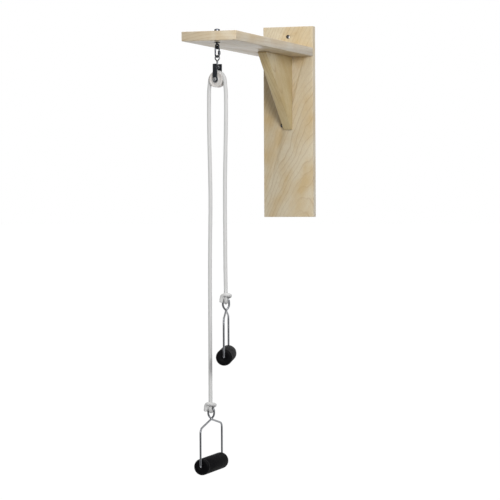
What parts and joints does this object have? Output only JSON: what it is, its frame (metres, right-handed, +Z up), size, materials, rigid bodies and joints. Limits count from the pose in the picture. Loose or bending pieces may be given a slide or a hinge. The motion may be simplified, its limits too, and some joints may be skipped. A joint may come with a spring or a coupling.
{
  "type": "wall-mounted exercise pulley",
  "caption": "Wooden wall bracket with an overhead pulley block, a rope over its sheave and a stirrup hand grip on each end of the rope.",
  "frame": {"origin": "centre of the back board's wall face", "axes": "+X to the right along the wall as seen from the room, +Y into the wall, +Z up"},
  "size_m": [0.114, 0.5494, 0.9246],
  "materials": {
    "maple_wood": "clear satin lacquer on pale maple",
    "zinc_steel": "zinc plated",
    "black_steel": "black coated steel, satin",
    "chrome_wire": "polished chrome plating",
    "white_nylon": "moulded nylon, satin",
    "cotton_rope": "natural cotton, twisted",
    "black_vinyl": "glossy skinned foam",
    "black_plastic": "moulded plastic, gloss"
  },
  "bodies": {
    "bracket": {"back_board": "maple_wood", "arm_board": "maple_wood", "brace": "maple_wood", "arm_screw_left": "zinc_steel", "arm_screw_middle": "zinc_steel", "arm_screw_right": "zinc_steel", "brace_back_screw_upper": "zinc_steel", "brace_back_screw_lower": "zinc_steel", "brace_top_screw_rear": "zinc_steel", "brace_top_screw_front": "zinc_steel", "eye_bolt": "black_steel", "eye_bolt_nut": "black_steel", "top_washer": "black_steel", "under_washer": "black_steel"},
    "link": {"quick_link": "black_steel"},
    "link_sleeve": {"link_sleeve": "black_steel"},
    "hanger": {"hanger": "chrome_wire"},
    "block": {"cheek_near": "black_steel", "cheek_far": "black_steel", "axle_rivet": "zinc_steel", "axle_bushing": "zinc_steel", "axle_washer_near": "zinc_steel", "axle_washer_far": "zinc_steel", "cross_rivet": "black_steel", "spacer_near": "zinc_steel", "spacer_far": "zinc_steel", "rope_wrap": "cotton_rope", "rope_long_fall": "cotton_rope", "rope_short_fall": "cotton_rope"},
    "sheave": {"sheave": "white_nylon"},
    "lower_end": {"lower_knot": "cotton_rope"},
    "lower_stirrup": {"lower_stirrup": "chrome_wire"},
    "lower_grip": {"lower_core_tube": "black_plastic", "lower_foam_grip": "black_vinyl", "lower_cap_near": "black_plastic", "lower_cap_far": "black_plastic"},
    "upper_end": {"upper_knot": "cotton_rope"},
    "upper_stirrup": {"upper_stirrup": "chrome_wire"},
    "upper_grip": {"upper_core_tube": "black_plastic", "upper_foam_grip": "black_vinyl", "upper_cap_near": "black_plastic", "upper_cap_far": "black_plastic"}
  },
  "joints": [
    {"name": "link_swing", "type": "hinge", "parent": "bracket", "child": "link", "pos_m": [0, -0.485, 0.1307], "axis": [0.866, -0.5, 0], "range_deg": [-15, 15]},
    {"name": "sleeve_slide", "type": "slide", "parent": "link", "child": "link_sleeve", "axis": [0, 0, 1], "range_m": [0, 0.0034]},
    {"name": "hanger_swing", "type": "hinge", "parent": "link", "child": "hanger", "pos_m": [0, -0.485, 0.1134], "axis": [0.5, 0.866, 0], "range_deg": [-15, 15]},
    {"name": "block_swing", "type": "hinge", "parent": "hanger", "child": "block", "pos_m": [0, -0.485, 0.0936], "axis": [0.2588, 0.9659, 0], "range_deg": [-15, 15]},
    {"name": "sheave_spin", "type": "hinge", "parent": "block", "child": "sheave", "pos_m": [0, -0.485, 0.0693], "axis": [0.2588, 0.9659, 0], "continuous": true},
    {"name": "lower_travel", "type": "slide", "parent": "block", "child": "lower_end", "axis": [0, 0, 1], "range_m": [-0.26, 0.03], "deforming": ["rope_long_fall"]},
    {"name": "upper_travel", "type": "slide", "parent": "block", "child": "upper_end", "axis": [0, 0, 1], "range_m": [-0.03, 0.26], "deforming": ["rope_short_fall"]},
    {"name": "lower_tilt", "type": "hinge", "parent": "lower_end", "child": "lower_stirrup", "pos_m": [-0.02009, -0.47612, -0.5871], "axis": [1, 0, 0], "range_deg": [-20, 20]},
    {"name": "upper_tilt", "type": "hinge", "parent": "upper_end", "child": "upper_stirrup", "pos_m": [0.01609, -0.48617, -0.368], "axis": [0.9659, 0.2588, 0], "range_deg": [-20, 20]},
    {"name": "lower_grip_spin", "type": "hinge", "parent": "lower_stirrup", "child": "lower_grip", "pos_m": [-0.02009, -0.47612, -0.6991], "axis": [0, 1, 0], "continuous": true},
    {"name": "upper_grip_spin", "type": "hinge", "parent": "upper_stirrup", "child": "upper_grip", "pos_m": [0.01609, -0.48617, -0.48], "axis": [-0.2588, 0.9659, 0], "continuous": true}
  ],
  "couplings": [
    {"joint": "upper_travel", "follows": "lower_travel", "ratio": -1},
    {"joint": "sheave_spin", "follows": "lower_travel", "rad_per_m": 70.922}
  ]
}
